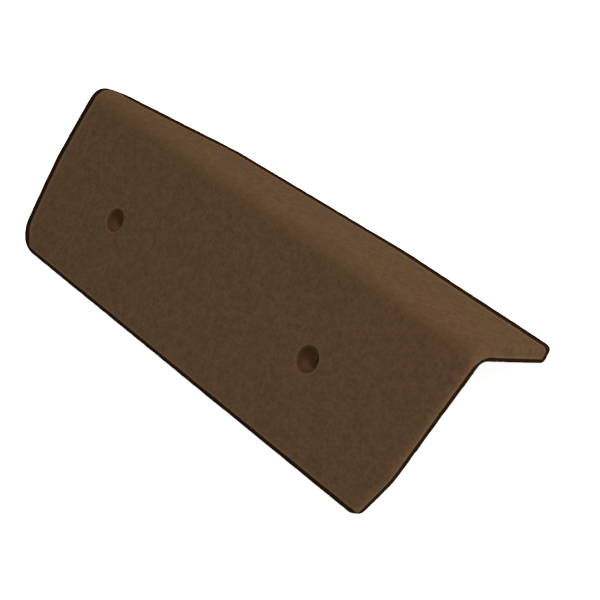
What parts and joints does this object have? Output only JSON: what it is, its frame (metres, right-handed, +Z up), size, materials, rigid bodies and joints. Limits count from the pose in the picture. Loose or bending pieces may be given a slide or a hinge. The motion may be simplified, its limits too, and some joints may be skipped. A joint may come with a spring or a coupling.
{
  "type": "verge tile",
  "caption": "L-shaped concrete roof verge tile: a broad apron with nail holes and a narrower cover flange that caps the roof's edge",
  "frame": {"origin": "centre of the bounding box at floor level, with the tile standing like a tent on the free edges of its two leaves", "axes": "+X along the fold from the head, the narrow end that the next tile laps, to the tail; -Y is the apron's side and +Y the cover flange's; +Z is up"},
  "size_m": [0.4256, 0.1762, 0.0753],
  "materials": {
    "concrete": "through-coloured brown concrete with a matt coating"
  },
  "bodies": {
    "root": {"tile": "concrete"}
  },
  "joints": []
}
